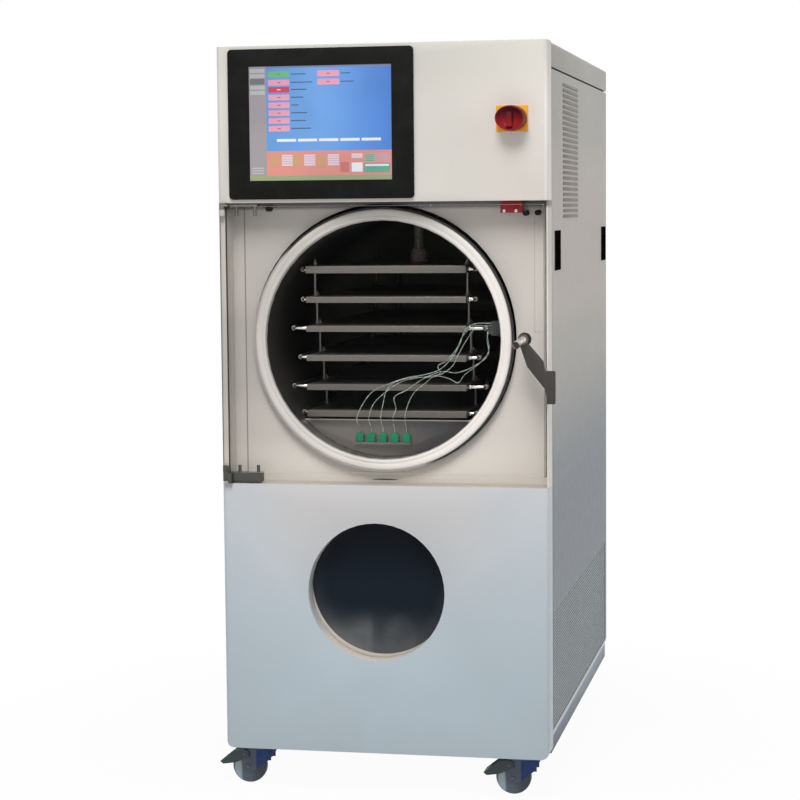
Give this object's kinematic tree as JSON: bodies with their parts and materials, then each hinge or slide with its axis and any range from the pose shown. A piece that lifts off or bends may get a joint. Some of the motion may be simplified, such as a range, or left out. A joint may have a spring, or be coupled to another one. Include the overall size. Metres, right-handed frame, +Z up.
{
  "type": "freeze dryer",
  "caption": "Upright laboratory freeze dryer on casters with a clear-doored shelf chamber above a porthole condenser.",
  "frame": {"origin": "on the floor, below the middle of the whole machine's box", "axes": "+Z up, -Y out of the front where the door and screen are, +X to the right as seen from the front"},
  "size_m": [0.836, 1.323, 1.779],
  "materials": {
    "cream_panels": "satin cream powder coat",
    "pale_panels": "satin pale grey powder coat",
    "side_panels": "satin grey powder coat",
    "frame_paint": "blue-grey paint",
    "stainless": "brushed stainless",
    "dark_steel": "dark machined steel",
    "silicone": "white silicone",
    "clear_acrylic": "clear polished acrylic",
    "dark_acrylic": "clear acrylic over a dark drum",
    "black_plastic": "satin black",
    "screen": "lit touch screen",
    "yellow_plastic": "yellow",
    "red_plastic": "dark red",
    "interlock_red": "red",
    "black_rubber": "black rubber",
    "copper": "copper tube",
    "tyre_grey": "grey rubber tyre on a dark hub",
    "pedal_grey": "grey-green",
    "braid": "braided steel hose",
    "plug_green": "green",
    "lead": "twisted pale and green wires"
  },
  "bodies": {
    "cabinet": {"base_frame": "frame_paint", "left_side_panel": "side_panels", "right_side_panel": "side_panels", "rear_panel": "side_panels", "top_cover": "side_panels", "upper_fascia": "cream_panels", "recess_panel": "cream_panels", "lower_front_panel": "pale_panels", "chamber_shell": "stainless", "chamber_gasket": "silicone", "lower_baffle": "stainless", "condenser_shell": "stainless", "condenser_coil": "copper", "condenser_window": "dark_acrylic", "compressor": "black_plastic", "screen_bezel": "black_plastic", "screen_glass": "screen", "isolator_plate": "yellow_plastic", "interlock_switch": "interlock_red", "hinge_bracket_top": "dark_steel", "hinge_bracket_bottom": "dark_steel", "ram_cylinder": "stainless", "fluid_hoses_left": "braid", "fluid_hoses_right": "braid", "door_buffer_1": "black_rubber", "door_buffer_2": "black_rubber", "door_buffer_3": "black_rubber", "shelf_6": "stainless", "probe_plug_1": "plug_green", "probe_lead_1": "lead", "probe_plug_2": "plug_green", "probe_lead_2": "lead", "probe_plug_3": "plug_green", "probe_lead_3": "lead", "probe_plug_4": "plug_green", "probe_lead_4": "lead", "probe_plug_5": "plug_green", "probe_lead_5": "lead"},
    "door": {"chamber_door": "clear_acrylic", "hinge_strap_top": "stainless", "hinge_strap_bottom": "dark_steel", "latch_boss": "dark_steel"},
    "latch": {"latch_lever": "dark_steel"},
    "isolator": {"isolator_knob": "red_plastic"},
    "ram": {"ram_rod": "stainless", "shelf_1": "stainless"},
    "moving_shelf_2": {"shelf_2": "stainless"},
    "moving_shelf_3": {"shelf_3": "stainless"},
    "moving_shelf_4": {"shelf_4": "stainless"},
    "moving_shelf_5": {"shelf_5": "stainless"},
    "fork_front_left": {"caster_fork_front_left": "dark_steel"},
    "wheel_front_left": {"caster_wheel_front_left": "tyre_grey"},
    "pedal_front_left": {"brake_pedal_front_left": "pedal_grey"},
    "fork_front_right": {"caster_fork_front_right": "dark_steel"},
    "wheel_front_right": {"caster_wheel_front_right": "tyre_grey"},
    "pedal_front_right": {"brake_pedal_front_right": "pedal_grey"},
    "fork_rear_left": {"caster_fork_rear_left": "dark_steel"},
    "wheel_rear_left": {"caster_wheel_rear_left": "tyre_grey"},
    "fork_rear_right": {"caster_fork_rear_right": "dark_steel"},
    "wheel_rear_right": {"caster_wheel_rear_right": "tyre_grey"}
  },
  "joints": [
    {"name": "door_hinge", "type": "hinge", "parent": "cabinet", "child": "door", "pos_m": [-0.375, -0.61152, 0.77], "axis": [0, 0, -1], "range_deg": [0, 120]},
    {"name": "latch_turn", "type": "hinge", "parent": "door", "child": "latch", "pos_m": [0.344, -0.61152, 1.092], "axis": [0, 1, 0], "range_deg": [0, 80]},
    {"name": "isolator_turn", "type": "hinge", "parent": "cabinet", "child": "isolator", "pos_m": [0.318, -0.60752, 1.6], "axis": [0, 1, 0], "range_deg": [0, 90]},
    {"name": "ram_slide", "type": "slide", "parent": "cabinet", "child": "ram", "axis": [0, 0, -1], "range_m": [0, 0.1]},
    {"name": "shelf_2_slide", "type": "slide", "parent": "cabinet", "child": "moving_shelf_2", "axis": [0, 0, -1], "range_m": [0, 0.08]},
    {"name": "shelf_3_slide", "type": "slide", "parent": "cabinet", "child": "moving_shelf_3", "axis": [0, 0, -1], "range_m": [0, 0.06]},
    {"name": "shelf_4_slide", "type": "slide", "parent": "cabinet", "child": "moving_shelf_4", "axis": [0, 0, -1], "range_m": [0, 0.04]},
    {"name": "shelf_5_slide", "type": "slide", "parent": "cabinet", "child": "moving_shelf_5", "axis": [0, 0, -1], "range_m": [0, 0.02]},
    {"name": "swivel_front_left", "type": "hinge", "parent": "cabinet", "child": "fork_front_left", "pos_m": [-0.32, -0.52852, 0.098], "axis": [0, 0, 1], "continuous": true},
    {"name": "wheel_spin_front_left", "type": "hinge", "parent": "fork_front_left", "child": "wheel_front_left", "pos_m": [-0.348, -0.52852, 0.0425], "axis": [0, 1, 0], "continuous": true},
    {"name": "brake_front_left", "type": "hinge", "parent": "fork_front_left", "child": "pedal_front_left", "pos_m": [-0.356, -0.52852, 0.074], "axis": [0, -1, 0], "range_deg": [0, 12]},
    {"name": "swivel_front_right", "type": "hinge", "parent": "cabinet", "child": "fork_front_right", "pos_m": [0.332, -0.52852, 0.098], "axis": [0, 0, 1], "continuous": true},
    {"name": "wheel_spin_front_right", "type": "hinge", "parent": "fork_front_right", "child": "wheel_front_right", "pos_m": [0.304, -0.52852, 0.0425], "axis": [0, 1, 0], "continuous": true},
    {"name": "brake_front_right", "type": "hinge", "parent": "fork_front_right", "child": "pedal_front_right", "pos_m": [0.296, -0.52852, 0.074], "axis": [0, -1, 0], "range_deg": [0, 12]},
    {"name": "swivel_rear_left", "type": "hinge", "parent": "cabinet", "child": "fork_rear_left", "pos_m": [-0.32, 0.55148, 0.098], "axis": [0, 0, 1], "continuous": true},
    {"name": "wheel_spin_rear_left", "type": "hinge", "parent": "fork_rear_left", "child": "wheel_rear_left", "pos_m": [-0.32, 0.57948, 0.0425], "axis": [1, 0, 0], "continuous": true},
    {"name": "swivel_rear_right", "type": "hinge", "parent": "cabinet", "child": "fork_rear_right", "pos_m": [0.332, 0.55148, 0.098], "axis": [0, 0, 1], "continuous": true},
    {"name": "wheel_spin_rear_right", "type": "hinge", "parent": "fork_rear_right", "child": "wheel_rear_right", "pos_m": [0.332, 0.57948, 0.0425], "axis": [1, 0, 0], "continuous": true}
  ],
  "couplings": [
    {"joint": "shelf_2_slide", "follows": "ram_slide", "ratio": 0.8},
    {"joint": "shelf_3_slide", "follows": "ram_slide", "ratio": 0.6},
    {"joint": "shelf_4_slide", "follows": "ram_slide", "ratio": 0.4},
    {"joint": "shelf_5_slide", "follows": "ram_slide", "ratio": 0.2}
  ]
}
